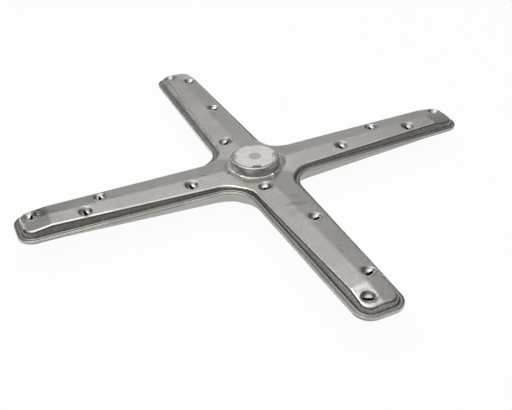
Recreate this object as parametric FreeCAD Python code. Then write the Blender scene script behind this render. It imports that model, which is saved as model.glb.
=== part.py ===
import FreeCAD, Part
import math
import os
from FreeCAD import Vector

# Four-armed spray arm: two pressed shells hemmed together, turning on a hollow spindle.
# The frame stands on the spindle's foot, with the turning axis as Z and the arms along X and Y.

# Planform of the arms, at the foot of the upper shell's side walls
half_span = 250.0            # turning axis to the outer edge of the rim
root_half_width = 25.5       # at the axis
tip_half_width = 19.8        # at the end of the span
tip_radius = 12.0
root_radius = 30.0           # inside corners between the arms
taper = (tip_half_width - root_half_width) / half_span

# Pressed shells
sheet = 1.0
crest_rise_root = 4.6        # flange's upper face to the crest of the walls, at the axis
crest_rise_tip = 10.6        # at the end of the span
wall_lean = 0.33             # how far the walls lean in, for each unit of height
crest_fillet = 3.0
ridge_rise = 2.0             # low ridge along the middle of each arm, above the crest at the root
pad_radius = 29.5            # level pad round the hub
pad_sink = 0.1               # its level below the valleys between the arms, where they meet it
pad_slope = 0.36             # from the pad up to the ridges
valley_round = 40.0          # between neighbouring arms' crowns
flange_step = 0.9            # flange left bare between the wall and the hem
hem_width = 2.7              # edge of the lower shell folded over the flange
pan_depth_root = 14.6        # lower shell's floor below the rim, beside the hub
pan_depth_tip = 3.0
pan_draft = 4.8              # how far the pan's wall leans in over its full depth
pan_fillet = 3.5
pan_flat = 46.0              # the pan's floor is level inside this radius

# Sloping facets at each tip
facet_length = 32.0          # from the crease to the end of the span
facet_slope = 0.115

# Nozzles, three along each arm and one in each tip's facets. A row gives, for each along the arm, the share
# of the way from the axis to the crease, the side (+1 left, looking outward) and the slot's skew in degrees.
dish_diameter = 14.0
dish_waist_diameter = 10.6
dish_waist_depth = 2.1
dish_floor_diameter = 6.0
dish_depth = 3.6
slot_length = 9.0
slot_width = 2.2
nozzle_offset = 9.5
tip_nozzle_offset = 8.0
nozzle_rows = (
    ((0.854, -1, 5.0), (0.684, 1, -12.0), (0.456, -1, 8.0)),
    ((0.970, -1, 20.0), (0.615, -1, 10.0), (0.260, 1, 25.0)),
    ((0.846, 1, 5.0), (0.757, -1, -10.0), (0.346, 1, 6.0)),
    ((0.945, 1, 12.0), (0.520, 1, 14.0), (0.198, -1, -10.0)),
)
tip_nozzles = ((15.0, 1, 20.0), (15.0, 1, 24.0), (16.5, -1, -20.0), (17.5, -1, -28.0))  # inset, side and skew

# Hub, from the ground up
foot_radius = 26.0
foot_thickness = 4.0
foot_clear = 2.0             # collar's lower face above the ground
collar_radius = 30.0
collar_height = 8.8
tube_radius = 25.0           # hub tube and spigot, through the holes in both shells
tube_wall = 3.6
port_width = 26.0            # windows from the hub into each arm
port_height = 9.0
port_sill = 3.0              # lower edge of the windows above the pan's floor
boss_seat = 1.6              # boss ring's foot on the shell, outside the hub tube
boss_wall = 3.15             # round the cap, at the top
boss_rise = 10.6
boss_round = 0.9
weld_leg = 1.4               # bead round the boss's foot and over the collar
spigot_depth = 3.0           # boss ring's spigot below the crown

# Cap and its seal
cap_head = 3.0
cap_lip = 2.0                # cap's head outside its thread
cap_proud = 0.4              # cap's face above the boss ring's
cap_wall = 1.4
cap_clearance = 0.35         # between the cap's skirt and the upper bush
cap_web = 2.0                # disc over the cap's hollow
cap_skirt = 3.2
cap_notches = 4
notch_turn = -20.0           # degrees, the first notch from +X
notch_width = 10.4
notch_depth = 3.8
recess_radius = 6.0
recess_depth = 0.7
seal_section = 1.2

# Spindle and bearings
journal_radius = 17.0
top_journal_radius = 13.0
feed_radius = 12.5           # socket for the machine's feed pipe
feed_depth = 14.0
bore_radius = 10.5
neck_radius = 15.0           # between the journals, where the water leaves
running_clearance = 0.05
side_clearance = 0.8         # between the foot and the collar's recess
end_float = 0.3              # lift that the retaining ring allows
bush_wall = 3.2
bush_flange = 2.0
bush_flange_thickness = 1.5
washer_thickness = 1.0
ring_thickness = 1.2
ring_groove_depth = 0.9
ring_stand = 2.2             # retaining ring's edge outside its journal
ring_opening = 5.0
spindle_end = 0.4            # spindle's end above the retaining ring
spindle_end_cap = 3.0
spindle_ports = 4
spindle_port_width = 11.0
spindle_port_height = 8.5
shoulder_gap = 1.0           # spindle's shoulder below the upper bush

# Levels worked out from the sizes above
pan_floor = foot_clear + collar_height
rim_floor = pan_floor + pan_depth_root
flange_floor = rim_floor + sheet
flange_top = flange_floor + sheet
hem_top = flange_top + sheet
rim_offset = flange_step + hem_width
foot_end = half_span - rim_offset
facet_start = half_span - facet_length
rise_slope = (crest_rise_tip - crest_rise_root) / half_span
crest_root_half_width = root_half_width - wall_lean * crest_rise_root
crest_taper = taper - wall_lean * rise_slope
ridge_slope = ridge_rise / crest_root_half_width
climb = rise_slope + ridge_slope * crest_taper
ridge_root = flange_top + crest_rise_root + ridge_rise
crown = ridge_root - (ridge_slope - climb) * pad_radius * math.sqrt(0.5) - pad_sink
boss_top = crown + boss_rise
cap_face = boss_top + cap_proud
spigot_floor = crown - sheet - spigot_depth
cap_seat = cap_face - cap_head
collar_shelf = foot_thickness + washer_thickness + bush_flange_thickness
port_floor = pan_floor + port_sill
retainer_floor = crown + bush_flange_thickness + end_float
groove_floor = retainer_floor + washer_thickness
spindle_top = groove_floor + ring_thickness + spindle_end
tube_bore = tube_radius - tube_wall
lower_bush_radius = journal_radius + running_clearance + bush_wall
upper_bush_radius = top_journal_radius + running_clearance + bush_wall
cap_thread_radius = upper_bush_radius + bush_flange + cap_clearance + cap_wall
cap_radius = cap_thread_radius + cap_lip
cap_bore = cap_radius + running_clearance
boss_top_radius = cap_bore + boss_wall
boss_foot_radius = tube_radius + boss_seat


def turned(points):
    # Solid of revolution about Z from (radius, height) corners.
    corners = [Vector(radius, 0, height) for radius, height in points]
    face = Part.Face(Part.makePolygon(corners + corners[:1]))
    return face.revolve(Vector(0, 0, 0), Vector(0, 0, 1), 360)


def on_arm(shape, arm):
    # Copy of a shape drawn on the +X arm, turned to arm 0, 1, 2 or 3.
    copy = shape.copy()
    copy.rotate(Vector(0, 0, 0), Vector(0, 0, 1), 90.0 * arm)
    return copy


def parallel(points, gap):
    # Open profile of (radius, height) points moved sideways by a gap, its corners mitred.
    moved = []
    for index in range(1, len(points) - 1):
        before, point, after = [Vector(*points[index + step], 0) for step in (-1, 0, 1)]
        first = (point - before).normalize()
        second = (after - point).normalize()
        bisector = Vector(first.y + second.y, -first.x - second.x, 0)
        moved.append(point + bisector * (gap / (1.0 + first.dot(second))))
    return [(point.x, point.y) for point in moved]


def planform(offset, height):
    # Closed outline of the four arms, offset outward from the foot of the walls.
    stretch = math.hypot(1.0, taper)
    start = root_half_width + offset * stretch
    end = foot_end + offset
    corner = tip_radius + offset
    inside = root_radius - offset
    normal = Vector(-taper, 1, 0) / stretch

    root_centre = (start + inside * stretch) / (1.0 - taper)
    root_middle = root_centre - inside * math.sqrt(0.5)
    root_point = Vector(root_centre, root_centre, 0) - normal * inside
    tip_x = end - corner
    tip_centre = Vector(tip_x, start + taper * tip_x - corner * stretch, 0)
    side_point = tip_centre + normal * corner
    corner_middle = tip_centre + (normal + Vector(1, 0, 0)).normalize() * corner
    end_point = tip_centre + Vector(corner, 0, 0)

    def below(point):
        return Vector(point.x, -point.y, 0)

    edges = [
        Part.LineSegment(below(root_point), below(side_point)).toShape(),
        Part.Arc(below(side_point), below(corner_middle), below(end_point)).toShape(),
        Part.LineSegment(below(end_point), end_point).toShape(),
        Part.Arc(end_point, corner_middle, side_point).toShape(),
        Part.LineSegment(side_point, root_point).toShape(),
        Part.Arc(root_point, Vector(root_middle, root_middle, 0), Vector(root_point.y, root_point.x, 0)).toShape(),
    ]
    outline = Part.Wire([on_arm(edge, arm) for arm in range(4) for edge in edges])
    outline.translate(Vector(0, 0, height))
    return outline


def drafted(lower_offset, lower_height, upper_offset, upper_height):
    # Solid with straight drafted walls between two outlines.
    wires = [planform(lower_offset, lower_height), planform(upper_offset, upper_height)]
    return Part.makeLoft(wires, True, True)


def slab(offset, height, thickness):
    return Part.Face(planform(offset, height)).extrude(Vector(0, 0, thickness))


def tip_wedges(start, height, slope, depth):
    # Four wedges that begin at a distance from the axis and follow a slope along each arm.
    length = 1.5 * half_span - start
    corners = [
        Vector(start, -half_span, height),
        Vector(start + length, -half_span, height + slope * length),
        Vector(start + length, -half_span, height + slope * length + depth),
        Vector(start, -half_span, height + depth),
    ]
    wedge = Part.Face(Part.makePolygon(corners + corners[:1])).extrude(Vector(0, 2 * half_span, 0))
    return [on_arm(wedge, arm) for arm in range(4)]


def outer_edges(solid, upward):
    # Edges round the level and gently sloping faces, without the creases between them.
    faces = []
    for face in solid.Faces:
        normal = face.normalAt(0, 0)
        if normal.z * upward > 0.9:
            faces.append(face)
    edges = [edge for face in faces for edge in face.Edges if not edge.isSeam(face)]
    return [edge for edge in edges if sum(edge.isSame(other) for other in edges) == 1]


def valley_edges(solid):
    # Creases between neighbouring arms' crowns, on the diagonals.
    def on_diagonal(point):
        return abs(abs(point.x) - abs(point.y)) < 1e-4

    return [edge for edge in solid.Edges if all(on_diagonal(vertex.Point) for vertex in edge.Vertexes)]


def ridge_height(distance):
    # Height of an arm's ridge at a distance from the axis.
    return ridge_root + climb * distance


def gable(distance, height, fall):
    # Solid under a ridge that begins at a distance from the axis and falls outward along +X.
    width = 2 * half_span
    skirt = height - ridge_slope * width
    section = [Vector(distance, -width, skirt), Vector(distance, 0, height), Vector(distance, width, skirt)]
    base = [Vector(distance, width, skirt - width), Vector(distance, -width, skirt - width)]
    face = Part.Face(Part.makePolygon(section + base + section[:1]))
    return face.extrude(Vector(width, 0, -fall * width))


def roof(inset):
    # Solid under the ridges of all four arms, with the level pad round the hub.
    height = ridge_height(0.0) - inset * math.hypot(1.0, ridge_slope)
    ridges = [on_arm(gable(0.0, height, -climb), arm) for arm in range(4)]
    level = crown - inset
    inner = pad_radius + inset * (math.hypot(1.0, pad_slope) - 1.0) / pad_slope
    outer = inner + 2 * ridge_rise / pad_slope
    scoop = turned([(0, level), (inner, level), (outer, level + 2 * ridge_rise),
                    (outer, level + 4 * ridge_rise), (0, level + 4 * ridge_rise)])
    return ridges[0].fuse(ridges[1:]).cut(scoop)


def upper_form(inset):
    # Upper shell's body as a solid: its outside, or with an inset of one sheet its hollow.
    wall_inset = inset * math.hypot(1.0, wall_lean)
    floor = flange_floor if inset else flange_top
    top = ridge_height(half_span)
    form = drafted(-wall_lean * (floor - flange_top) - wall_inset, floor,
                   -wall_lean * (top - flange_top) - wall_inset, top)
    crease = facet_start - inset * math.tan((math.atan(facet_slope) - math.atan(climb)) / 2)
    height = ridge_height(crease) - inset * math.hypot(1.0, ridge_slope)
    block = Part.makeBox(half_span, 2 * half_span, 2 * crown, Vector(crease, -half_span, 0))
    above_facets = block.cut(gable(crease, height, facet_slope))
    form = form.common(roof(inset)).cut([on_arm(above_facets, arm) for arm in range(4)]).removeSplitter()
    form = form.makeFillet(valley_round + inset, valley_edges(form))
    return form.makeFillet(crest_fillet - inset, outer_edges(form, 1))


def nozzle_frames():
    # Place and slot heading of every nozzle, as placements with Z out of the sloping crown.
    frames = []
    for arm, row in enumerate(nozzle_rows):
        inset, side, skew = tip_nozzles[arm]
        places = [(share * facet_start, side_on_arm * nozzle_offset, turn, -climb) for share, side_on_arm, turn in row]
        places.append((half_span - inset, side * tip_nozzle_offset, skew, facet_slope))
        for distance, offset, turn, fall in places:
            height = ridge_height(distance) - ridge_slope * abs(offset)
            if distance > facet_start:
                height -= (facet_slope + climb) * (distance - facet_start)
            normal = Vector(fall, math.copysign(ridge_slope, offset), 1.0)
            frame = FreeCAD.Placement(Vector(0, 0, 0), FreeCAD.Rotation(Vector(0, 0, 1), 90.0 * arm))
            frame = frame.multiply(FreeCAD.Placement(
                Vector(distance, offset, height), FreeCAD.Rotation(Vector(0, 0, 1), normal)))
            heading = FreeCAD.Placement(Vector(0, 0, 0), FreeCAD.Rotation(Vector(0, 0, 1), 90.0 + turn))
            frames.append(frame.multiply(heading))
    return frames


def placed(shape, frame):
    copy = shape.copy()
    copy.Placement = frame.multiply(copy.Placement)
    return copy


def dish_tool():
    # Hollow of a nozzle dish, and the same form one sheet larger for the inside of the shell.
    profile = [
        (0, -dish_depth),
        (dish_floor_diameter / 2, -dish_depth),
        (dish_waist_diameter / 2, -dish_waist_depth),
        (dish_diameter / 2, 0),
    ]
    lid = dish_depth
    hollow = turned(profile + [(dish_diameter / 2, lid), (0, lid)])
    skin = parallel([(-dish_diameter, -dish_depth)] + profile[1:] + [(dish_diameter, 0)], sheet)
    bulge = turned([(0, skin[0][1])] + skin + [(skin[-1][0], lid), (0, lid)])
    return hollow, bulge


def slot_tool():
    # Round-ended slot along X, through the floor of a dish.
    straight = slot_length - slot_width
    depth = dish_depth + 2 * sheet
    body = Part.makeBox(straight, slot_width, 2 * depth, Vector(-straight / 2, -slot_width / 2, -depth))
    ends = [Part.makeCylinder(slot_width / 2, 2 * depth, Vector(x, 0, -depth)) for x in (-straight / 2, straight / 2)]
    return body.fuse(ends).removeSplitter()


def upper_shell():
    frames = nozzle_frames()
    dish, bulge = dish_tool()
    slot = slot_tool()
    outside = upper_form(0.0)
    outside = outside.cut([placed(dish, frame) for frame in frames])
    inside = upper_form(sheet)
    inside = inside.cut([placed(bulge, frame) for frame in frames])
    flange = slab(rim_offset - sheet, flange_floor, sheet)
    shell = outside.fuse(flange).cut(inside)
    shell = shell.cut([placed(slot, frame) for frame in frames])
    shell = shell.cut(Part.makeCylinder(tube_radius, 4 * sheet, Vector(0, 0, crown - 2 * sheet)))
    return shell.removeSplitter()


def pan_form(inset):
    # Lower shell's pan as a solid: its outside, or with an inset of one sheet its hollow.
    lean = pan_draft / pan_depth_root
    wall_inset = inset * math.hypot(1.0, lean)
    mouth = -wall_inset
    top = rim_floor + (sheet if inset else 0.0)
    reach = mouth + lean * (top - rim_floor)
    floor = pan_floor + inset
    form = drafted(mouth - lean * (rim_floor - floor), floor, reach, top)
    rise = (pan_depth_root - pan_depth_tip) / (foot_end - pan_flat)
    form = form.cut(tip_wedges(pan_flat, floor - pan_depth_root, rise, pan_depth_root))
    return form.makeFillet(pan_fillet - inset, outer_edges(form, -1))


def lower_shell():
    rim = slab(rim_offset, rim_floor, hem_top - rim_floor)
    rim = rim.cut(slab(rim_offset - hem_width, flange_top, 2 * sheet))
    rim = rim.cut(slab(rim_offset - sheet, flange_floor, sheet))
    shell = pan_form(0.0).fuse(rim).cut(pan_form(sheet))
    shell = shell.cut(Part.makeCylinder(tube_radius, 4 * sheet, Vector(0, 0, pan_floor - sheet)))
    return shell.removeSplitter()


def boss_ring():
    # Tapered ring welded to the crown, with a spigot through it that holds the upper bush.
    return turned([
        (upper_bush_radius, spigot_floor),
        (tube_radius, spigot_floor),
        (tube_radius, crown),
        (boss_foot_radius + weld_leg, crown),
        (boss_foot_radius, crown + weld_leg),
        (boss_top_radius, boss_top - boss_round),
        (boss_top_radius - boss_round, boss_top),
        (cap_bore, boss_top),
        (cap_bore, cap_seat),
        (cap_thread_radius, cap_seat),
        (cap_thread_radius, crown),
        (upper_bush_radius, crown),
    ])


def hub_collar():
    # Collar under the pan with the tube that joins both shells; its windows feed the arms.
    recess = foot_radius + side_clearance
    collar = turned([
        (recess, foot_clear),
        (collar_radius, foot_clear),
        (collar_radius, pan_floor - weld_leg),
        (collar_radius + weld_leg, pan_floor),
        (tube_radius, pan_floor),
        (tube_radius, spigot_floor),
        (tube_bore, spigot_floor),
        (tube_bore, port_floor),
        (lower_bush_radius, port_floor),
        (lower_bush_radius, collar_shelf),
        (recess, collar_shelf),
    ])
    window = Part.makeBox(tube_radius, port_width, port_height, Vector(tube_bore / 2, -port_width / 2, port_floor))
    return collar.cut([on_arm(window, arm) for arm in range(4)])


def hub_cap():
    # Moulded screw cap: spanner notches round its face, a shallow recess and a hollow under it.
    hollow = cap_thread_radius - cap_wall
    groove = cap_thread_radius + (cap_lip - seal_section) / 2
    cap = turned([
        (0, cap_face - cap_web),
        (hollow, cap_face - cap_web),
        (hollow, cap_seat - cap_skirt),
        (cap_thread_radius, cap_seat - cap_skirt),
        (cap_thread_radius, cap_seat),
        (groove, cap_seat),
        (groove, cap_seat + seal_section),
        (groove + seal_section, cap_seat + seal_section),
        (groove + seal_section, cap_seat),
        (cap_radius, cap_seat),
        (cap_radius, cap_face),
        (recess_radius, cap_face),
        (recess_radius, cap_face - recess_depth),
        (0, cap_face - recess_depth),
    ])
    tools = []
    for notch in range(cap_notches):
        tool = Part.makeBox(2 * notch_depth, notch_width, 2 * cap_web,
                            Vector(cap_radius - notch_depth, -notch_width / 2, cap_face - cap_web + sheet))
        tool.rotate(Vector(0, 0, 0), Vector(0, 0, 1), notch_turn + 360.0 * notch / cap_notches)
        tools.append(tool)
    return cap.cut(tools)


def cap_seal():
    # Flat ring that fills the groove under the cap's head.
    groove = cap_thread_radius + (cap_lip - seal_section) / 2
    return turned([(groove, cap_seat), (groove + seal_section, cap_seat),
                   (groove + seal_section, cap_seat + seal_section), (groove, cap_seat + seal_section)])


def flanged_bush(journal, outside, foot, head, flange_at_head):
    # Plain bush from foot to head, its flange at one end.
    bore = journal + running_clearance
    flange = outside + bush_flange
    if flange_at_head:
        return turned([(bore, foot), (outside, foot), (outside, head), (flange, head),
                       (flange, head + bush_flange_thickness), (bore, head + bush_flange_thickness)])
    return turned([(bore, foot - bush_flange_thickness), (flange, foot - bush_flange_thickness), (flange, foot),
                   (outside, foot), (outside, head), (bore, head)])


def upper_bush():
    return flanged_bush(top_journal_radius, upper_bush_radius, spigot_floor, crown, True)


def lower_bush():
    return flanged_bush(journal_radius, lower_bush_radius, collar_shelf, port_floor, False)


def washer(journal, outside, floor):
    return turned([(journal + running_clearance, floor), (outside, floor), (outside, floor + washer_thickness),
                   (journal + running_clearance, floor + washer_thickness)])


def thrust_washer():
    return washer(journal_radius, lower_bush_radius + bush_flange, foot_thickness)


def retaining_washer():
    return washer(top_journal_radius, top_journal_radius + ring_stand + washer_thickness, retainer_floor)


def retaining_ring():
    # Open spring ring in the groove at the top of the spindle.
    groove = top_journal_radius - ring_groove_depth
    edge = top_journal_radius + ring_stand
    ring = turned([(groove, groove_floor), (edge, groove_floor), (edge, groove_floor + ring_thickness),
                   (groove, groove_floor + ring_thickness)])
    opening = Part.makeBox(edge, ring_opening, 3 * ring_thickness,
                           Vector(groove / 2, -ring_opening / 2, groove_floor - ring_thickness))
    return ring.cut(opening)


def spindle():
    # Hollow spindle on a round foot, closed at the top, with side ports between its journals.
    shoulder = spigot_floor - shoulder_gap
    groove = top_journal_radius - ring_groove_depth
    body = turned([
        (feed_radius, 0),
        (foot_radius, 0),
        (foot_radius, foot_thickness),
        (journal_radius, foot_thickness),
        (journal_radius, port_floor),
        (neck_radius, port_floor),
        (neck_radius, shoulder),
        (top_journal_radius, shoulder),
        (top_journal_radius, groove_floor),
        (groove, groove_floor),
        (groove, groove_floor + ring_thickness),
        (top_journal_radius, groove_floor + ring_thickness),
        (top_journal_radius, spindle_top),
        (0, spindle_top),
        (0, spindle_top - spindle_end_cap),
        (bore_radius, spindle_top - spindle_end_cap),
        (bore_radius, feed_depth),
        (feed_radius, feed_depth),
    ])
    port = Part.makeBox(neck_radius, spindle_port_width, spindle_port_height,
                        Vector(bore_radius / 2, -spindle_port_width / 2, port_floor + sheet))
    ports = []
    for index in range(spindle_ports):
        tool = port.copy()
        tool.rotate(Vector(0, 0, 0), Vector(0, 0, 1), 360.0 * index / spindle_ports)
        ports.append(tool)
    return body.cut(ports)


nodes = {
    "upper_shell": upper_shell,
    "lower_shell": lower_shell,
    "boss_ring": boss_ring,
    "hub_collar": hub_collar,
    "hub_cap": hub_cap,
    "cap_seal": cap_seal,
    "upper_bush": upper_bush,
    "lower_bush": lower_bush,
    "spindle": spindle,
    "thrust_washer": thrust_washer,
    "retaining_washer": retaining_washer,
    "retaining_ring": retaining_ring,
}

os.makedirs("parts", exist_ok=True)
for name, build in nodes.items():
    shape = build()
    box = shape.BoundBox
    print(name, shape.ShapeType, len(shape.Solids), shape.isValid(), round(shape.Volume, 1),
          [round(v, 2) for v in (box.XMin, box.YMin, box.ZMin, box.XMax, box.YMax, box.ZMax)])
    shape.exportStep("parts/" + name + ".step")
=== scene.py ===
import math
import random

import bpy
from mathutils import Matrix, Vector, noise


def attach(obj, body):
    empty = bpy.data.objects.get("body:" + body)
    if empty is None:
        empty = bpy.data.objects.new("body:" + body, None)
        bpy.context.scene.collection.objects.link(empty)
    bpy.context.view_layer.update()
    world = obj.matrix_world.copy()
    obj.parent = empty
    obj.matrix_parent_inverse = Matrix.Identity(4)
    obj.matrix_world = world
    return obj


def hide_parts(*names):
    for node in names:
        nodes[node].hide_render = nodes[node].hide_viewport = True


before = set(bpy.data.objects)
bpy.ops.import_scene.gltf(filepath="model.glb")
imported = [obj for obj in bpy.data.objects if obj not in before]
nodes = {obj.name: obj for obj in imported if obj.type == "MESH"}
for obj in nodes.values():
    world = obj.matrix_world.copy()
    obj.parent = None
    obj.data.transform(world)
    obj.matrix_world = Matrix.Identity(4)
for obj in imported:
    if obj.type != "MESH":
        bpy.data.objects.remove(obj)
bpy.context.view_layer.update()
print("frame loaded:", len(nodes), "nodes")

mm = 0.001
armBody = "turning_arm"


cameraPlace = {
    "eye": (-0.28518, -0.61232, 0.44962),
    "turn": -24.993,         # degrees from looking along +Y
    "height": 34.751,        # degrees above the horizon
    "roll": -0.995,
    "lens": 52.825,
    "sensor": 36.0,
    "nearest": 0.01,
}


def makeCamera(place):
    turn, height, roll = (math.radians(place[key]) for key in ("turn", "height", "roll"))
    level = math.cos(height)
    back = Vector((math.sin(turn) * level, -math.cos(turn) * level, math.sin(height)))
    levelRight = (-back).cross(Vector((0, 0, 1))).normalized()
    levelUp = levelRight.cross(-back)
    right = levelRight * math.cos(roll) + levelUp * math.sin(roll)
    up = levelUp * math.cos(roll) - levelRight * math.sin(roll)
    data = bpy.data.cameras.new("studioCamera")
    data.lens = place["lens"]
    data.sensor_width = place["sensor"]
    data.clip_start = place["nearest"]
    camera = bpy.data.objects.new("studioCamera", data)
    turned = Matrix((right, up, back)).transposed().to_4x4()
    camera.matrix_world = Matrix.Translation(place["eye"]) @ turned
    bpy.context.scene.collection.objects.link(camera)
    bpy.context.scene.camera = camera


makeCamera(cameraPlace)
bpy.context.scene.view_settings.view_transform = "Standard"
print("camera placed")


mixSockets = {"RGBA": (6, 7, 2), "VECTOR": (4, 5, 1)}    # first, second and result of a Mix node


def link(tree, source, target):
    tree.links.new(source, target)


def feed(tree, socket, entry):
    # A socket takes a link from another socket, or a plain value.
    if isinstance(entry, bpy.types.NodeSocket):
        link(tree, entry, socket)
    else:
        socket.default_value = entry


def addNode(tree, kind, inputs=None, **settings):
    node = tree.nodes.new(kind)
    for key, value in settings.items():
        setattr(node, key, value)
    for name, entry in (inputs or {}).items():
        feed(tree, node.inputs[name], entry)
    return node


def calculate(tree, operation, *entries):
    node = addNode(tree, "ShaderNodeMath", operation=operation)
    for socket, entry in zip(node.inputs, entries):
        feed(tree, socket, entry)
    return node.outputs[0]


def remap(tree, value, low, high, newLow=0.0, newHigh=1.0, fade="SMOOTHSTEP"):
    node = addNode(tree, "ShaderNodeMapRange", interpolation_type=fade, inputs={
        "Value": value, "From Min": low, "From Max": high, "To Min": newLow, "To Max": newHigh})
    return node.outputs["Result"]


def blend(tree, share, first, second, kind="RGBA"):
    node = addNode(tree, "ShaderNodeMix", data_type=kind)
    low, high, result = mixSockets[kind]
    feed(tree, node.inputs[0], share)
    for index, entry in ((low, first), (high, second)):
        feed(tree, node.inputs[index], (*entry, 1.0) if isinstance(entry, tuple) else entry)
    return node.outputs[result]


def newGroup(name, inputs, outputs):
    group = bpy.data.node_groups.new(name, "ShaderNodeTree")
    kinds = {"value": "NodeSocketFloat", "vector": "NodeSocketVector"}
    for label, kind, default in inputs:
        socket = group.interface.new_socket(label, in_out="INPUT", socket_type=kinds[kind])
        if default is not None:
            socket.default_value = default
    for label, kind in outputs:
        group.interface.new_socket(label, in_out="OUTPUT", socket_type=kinds[kind])
    entry = group.nodes.new("NodeGroupInput")
    leave = group.nodes.new("NodeGroupOutput")
    return group, entry.outputs, leave.inputs


def useGroup(tree, group, **inputs):
    return addNode(tree, "ShaderNodeGroup", node_tree=group, inputs=inputs)


def groupMask(tree, group, **inputs):
    return useGroup(tree, group, **inputs).outputs["Mask"]


def armPlaceGroup(apart=0.7):
    # Place along and across whichever arm a point is on, for grain that follows the arms.
    # The two pairs of arms lie apart, so they don't share their patches.
    group, _, leave = newGroup("armPlace", [], [
        ("Vector", "vector"), ("Along", "value"), ("Across", "value"), ("Radius", "value"),
        ("Height", "value")])
    place = addNode(group, "ShaderNodeTexCoord").outputs["Object"]
    x, y, z = addNode(group, "ShaderNodeSeparateXYZ", inputs={"Vector": place}).outputs
    reachX = calculate(group, "ABSOLUTE", x)
    reachY = calculate(group, "ABSOLUTE", y)
    onY = calculate(group, "GREATER_THAN", reachY, reachX)
    turned = addNode(group, "ShaderNodeCombineXYZ", inputs={
        "X": y, "Y": x, "Z": calculate(group, "ADD", z, apart)})
    flat = addNode(group, "ShaderNodeCombineXYZ", inputs={"X": x, "Y": y})
    radius = addNode(group, "ShaderNodeVectorMath", operation="LENGTH", inputs={0: flat.outputs[0]})
    results = {
        "Vector": blend(group, onY, place, turned.outputs[0], "VECTOR"),
        "Along": calculate(group, "MAXIMUM", reachX, reachY),
        "Across": calculate(group, "MINIMUM", reachX, reachY),
        "Radius": radius.outputs["Value"],
        "Height": z,
    }
    for label, result in results.items():
        link(group, result, leave[label])
    return group


def grainGroup():
    # Fine drawn grain, stretched along the first axis of the place it is given.
    group, entry, leave = newGroup("drawnGrain", [
        ("Vector", "vector", None), ("Scale", "value", 900.0), ("Stretch", "value", 0.06)],
        [("Mask", "value")])
    squeeze = addNode(group, "ShaderNodeCombineXYZ", inputs={
        "X": entry["Stretch"], "Y": 1.0, "Z": 1.0})
    place = addNode(group, "ShaderNodeVectorMath", operation="MULTIPLY", inputs={
        0: entry["Vector"], 1: squeeze.outputs[0]})
    grain = addNode(group, "ShaderNodeTexNoise", inputs={
        "Vector": place.outputs[0], "Scale": entry["Scale"], "Detail": 3.0, "Roughness": 0.6})
    link(group, grain.outputs["Fac"], leave["Mask"])
    return group


def cloudGroup():
    # Soft patches with fairly firm edges, as handling and rinse water leave on sheet steel.
    group, entry, leave = newGroup("rinseClouds", [
        ("Vector", "vector", None), ("Scale", "value", 18.0), ("Edge", "value", 0.08),
        ("Level", "value", 0.5)], [("Mask", "value")])
    cloud = addNode(group, "ShaderNodeTexNoise", inputs={
        "Vector": entry["Vector"], "Scale": entry["Scale"], "Detail": 2.0, "Roughness": 0.45,
        "Distortion": 0.4})
    low = calculate(group, "SUBTRACT", entry["Level"], entry["Edge"])
    high = calculate(group, "ADD", entry["Level"], entry["Edge"])
    link(group, remap(group, cloud.outputs["Fac"], low, high), leave["Mask"])
    return group


scuffLook = {
    "squeeze": (0.35, 1.0, 1.0),     # the streaks run along the arm
    "finer": 9.0,                    # streaks to a patch
    "patch": (0.78, 0.80),           # noise levels where a patch starts and where it is full
    "streak": (0.52, 0.66),
}


def scuffGroup(values):
    # Sparse short rubs and scratches.
    group, entry, leave = newGroup("scuffs", [
        ("Vector", "vector", None), ("Scale", "value", 30.0), ("Amount", "value", 0.12)],
        [("Mask", "value")])
    squeeze = addNode(group, "ShaderNodeVectorMath", operation="MULTIPLY", inputs={
        0: entry["Vector"], 1: values["squeeze"]})
    streaks = addNode(group, "ShaderNodeTexNoise", inputs={
        "Vector": squeeze.outputs[0], "Detail": 2.0, "Distortion": 0.8,
        "Scale": calculate(group, "MULTIPLY", entry["Scale"], values["finer"])})
    places = addNode(group, "ShaderNodeTexNoise", inputs={
        "Vector": entry["Vector"], "Scale": entry["Scale"], "Detail": 1.0})
    low, high = values["patch"]
    sparse = remap(group, places.outputs["Fac"], calculate(group, "SUBTRACT", low, entry["Amount"]),
                   high)
    fine = remap(group, streaks.outputs["Fac"], *values["streak"])
    link(group, calculate(group, "MULTIPLY", sparse, fine), leave["Mask"])
    return group


def slopeGroup():
    # 1 where the surface stands upright, 0 where it lies level, by how far its normal points up.
    group, entry, leave = newGroup("steepness", [
        ("Low", "value", 0.35), ("High", "value", 0.9)], [("Mask", "value")])
    normal = addNode(group, "ShaderNodeNewGeometry").outputs["True Normal"]
    up = addNode(group, "ShaderNodeSeparateXYZ", inputs={"Vector": normal}).outputs["Z"]
    link(group, remap(group, up, entry["Low"], entry["High"], 1.0, 0.0), leave["Mask"])
    return group


marks = {
    "waverScale": 190.0,
    "waver": 0.0035,         # metres that a mark's edge wanders
    "fade": (0.35, 1.15),    # shares of a mark's size where it starts to fade and where it ends
    # Rubs and blotches: middle in mm, half length, half width, turn in degrees, strength.
    "places": (
        (-153.7, 1.9, 4.6, 0.9, -1.0, 0.55), (-149.0, 2.6, 1.6, 0.7, 10.0, 0.8),
        (-58.2, 1.2, 5.6, 0.9, -17.0, 0.75), (15.5, -218.4, 3.4, 0.8, -56.0, 0.7),
        (2.1, -63.0, 1.3, 0.8, -90.0, 1.0), (-220.1, 3.7, 2.8, 1.0, -48.0, 0.5),
        (3.0, -55.0, 4.0, 0.7, -72.0, 0.35), (3.0, -86.0, 15.0, 5.0, -14.0, 0.34),
        (-4.3, -99.0, 9.0, 7.0, 20.0, 0.16), (9.0, -74.0, 9.0, 5.0, -60.0, 0.18),
        (2.0, 118.0, 12.0, 5.0, 75.0, 0.18), (150.0, 4.0, 14.0, 5.0, 15.0, 0.16),
    ),
}


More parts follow.
